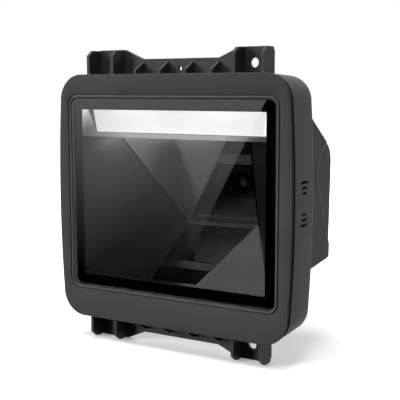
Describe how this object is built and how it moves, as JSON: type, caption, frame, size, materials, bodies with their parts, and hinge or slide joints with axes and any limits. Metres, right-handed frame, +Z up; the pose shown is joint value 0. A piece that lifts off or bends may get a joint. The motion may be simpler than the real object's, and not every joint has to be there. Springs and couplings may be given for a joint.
{
  "type": "fixed barcode reader",
  "caption": "Panel-mounted barcode reader: bowed bezel round a large window, lit strip and fold mirror inside, eared housing with a sloped rear hump and a cable socket.",
  "frame": {"origin": "centre of the four ear holes, on the rear face of the ears", "axes": "window faces -Y, +Z is up, +X is to the right seen from the front; mm in the source, metres here"},
  "size_m": [0.1286, 0.0613, 0.1448],
  "materials": {
    "housing_plastic": "fine moulded texture",
    "window_glass": "clear polished",
    "mask_black": "printed black",
    "seal_rubber": "matt",
    "chamber_plastic": "satin black",
    "label_black": "satin, bare",
    "mirror": "front surface mirror",
    "spring_steel": "rolled",
    "reflector_white": "white, lit from behind",
    "emitter_yellow": "phosphor",
    "circuit_board": "solder mask",
    "moulded_black": "moulded black",
    "lens_glass": "coated",
    "chip_black": "moulded"
  },
  "bodies": {
    "root": {"front_bezel": "housing_plastic", "rear_housing": "housing_plastic", "window_glass": "window_glass", "window_mask": "mask_black", "body_gasket": "seal_rubber", "sounder_seal": "seal_rubber", "optical_chamber": "chamber_plastic", "floor_insert": "chamber_plastic", "label_plate": "label_black", "fold_mirror": "mirror", "mirror_clips": "spring_steel", "light_box": "reflector_white", "light_diffuser": "reflector_white", "light_emitters": "emitter_yellow", "light_board": "circuit_board", "camera_board": "circuit_board", "main_board": "circuit_board", "interface_board": "circuit_board", "lens_holder": "moulded_black", "lens_barrel": "moulded_black", "interface_jack": "moulded_black", "sounder": "moulded_black", "lens_glass": "lens_glass", "image_sensor": "chip_black", "board_chips": "chip_black"}
  },
  "joints": []
}
